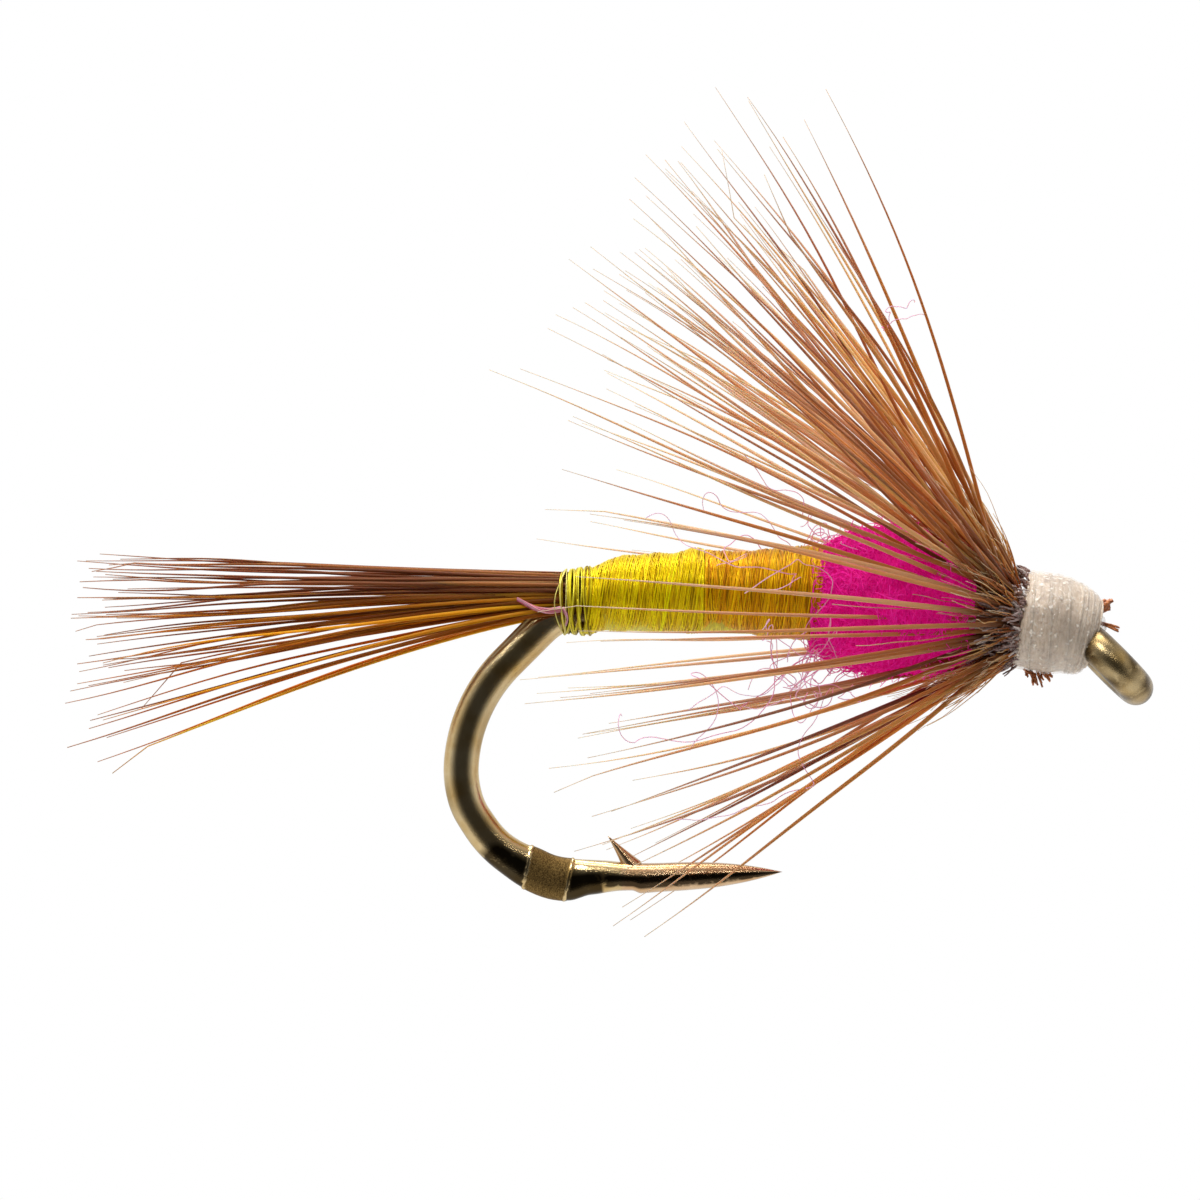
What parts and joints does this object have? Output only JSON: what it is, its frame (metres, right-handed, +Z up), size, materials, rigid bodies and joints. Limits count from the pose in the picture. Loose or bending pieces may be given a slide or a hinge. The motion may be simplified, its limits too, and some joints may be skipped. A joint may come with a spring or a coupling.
{
  "type": "dry fly",
  "caption": "Artificial trout fly: feather tail, yellow floss body, magenta dubbed thorax and swept-back brown collar hackle on a barbed, down-eyed hook.",
  "frame": {"origin": "centre of the hole in the hook's eye", "axes": "+X forward along the hook's shank towards the eye, +Z up, away from the hook's point, +Y to the fly's left"},
  "size_m": [0.0213, 0.0139, 0.0177],
  "materials": {
    "bronzed_wire": "bronze-finished steel wire, smooth and glossy",
    "tying_thread": "off-white waxed multifilament thread",
    "tail_barb": "brown feather barbs with a soft gloss",
    "golden_barb": "golden brown feather barbs",
    "yellow_floss": "shiny yellow rayon floss",
    "golden_floss": "shiny golden yellow rayon floss",
    "magenta_dubbing": "soft magenta fur dubbing",
    "pink_fibre": "loose pale pink dubbing fibres",
    "hackle_quill": "purplish brown feather quill",
    "hackle_barb": "cinnamon brown feather barbs with a soft gloss",
    "hackle_down": "pale brown feather down",
    "head_varnish": "clear glossy head varnish",
    "clipped_quill": "orange brown clipped feather ends"
  },
  "bodies": {
    "root": {"hook": "bronzed_wire", "thread_base": "tying_thread", "tail_binding": "tying_thread", "hackle_bed": "tying_thread", "head_thread": "tying_thread", "whip_finish": "tying_thread", "clipped_thread_end": "tying_thread", "tail_barbs_upper": "tail_barb", "tail_barbs_middle": "tail_barb", "tail_barbs_lower": "golden_barb", "floss_tie_in": "yellow_floss", "floss_underlayer": "yellow_floss", "abdomen_floss_rear": "yellow_floss", "floss_stray_loops": "yellow_floss", "abdomen_floss_front": "golden_floss", "thorax_core": "magenta_dubbing", "thorax_dubbing": "magenta_dubbing", "dubbing_fibres": "pink_fibre", "hackle_quill": "hackle_quill", "quill_butts": "hackle_quill", "hackle_barbs_crown": "hackle_barb", "hackle_barbs_near": "hackle_barb", "hackle_barbs_far": "hackle_barb", "hackle_barbs_beard": "hackle_barb", "hackle_down": "hackle_down", "head_varnish": "head_varnish", "clipped_quill_tip": "clipped_quill", "clipped_beard_stub": "clipped_quill"}
  },
  "joints": []
}
